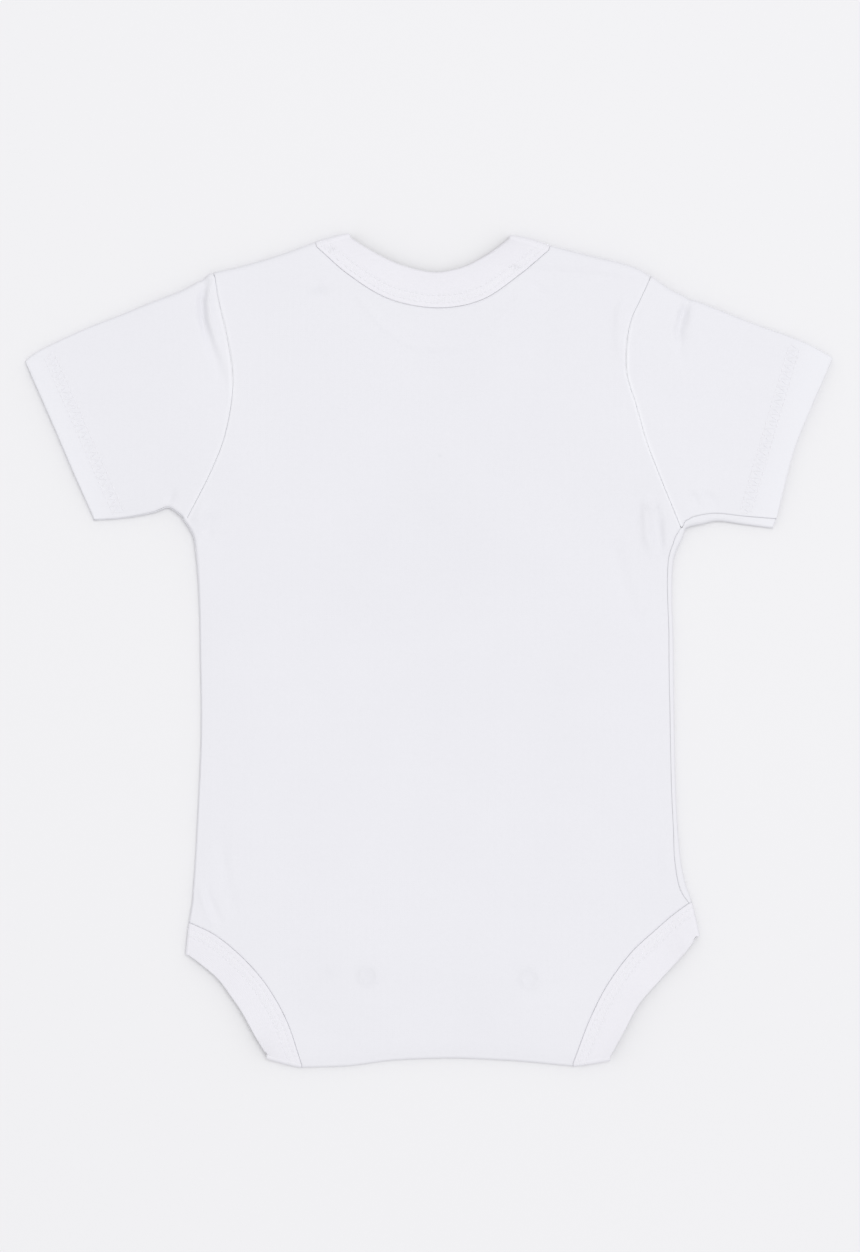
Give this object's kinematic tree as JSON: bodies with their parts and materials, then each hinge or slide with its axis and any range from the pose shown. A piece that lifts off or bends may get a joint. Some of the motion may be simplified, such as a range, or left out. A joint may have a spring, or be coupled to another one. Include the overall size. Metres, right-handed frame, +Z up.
{
  "type": "baby bodysuit",
  "caption": "Short-sleeve baby bodysuit in white jersey with lap shoulders, laid flat and face down, snaps closed.",
  "frame": {"origin": "on the surface that the garment lies on, under the middle of its outline", "axes": "+Z up out of the back panel, +Y from the crotch to the neck, +X to the wearer's right sleeve"},
  "size_m": [0.3792, 0.3932, 0.0065],
  "materials": {
    "jersey": "matte knit",
    "binding": "matte knit",
    "snap_metal": "satin"
  },
  "bodies": {
    "root": {"back_panel": "jersey", "front_panel": "jersey", "sleeve_left": "jersey", "sleeve_right": "jersey", "back_neck_binding": "binding", "front_neck_binding": "binding", "leg_binding_left": "binding", "leg_binding_right": "binding", "snap_cap_left": "snap_metal", "snap_cap_right": "snap_metal", "snap_ring_left": "snap_metal", "snap_ring_right": "snap_metal"}
  },
  "joints": []
}
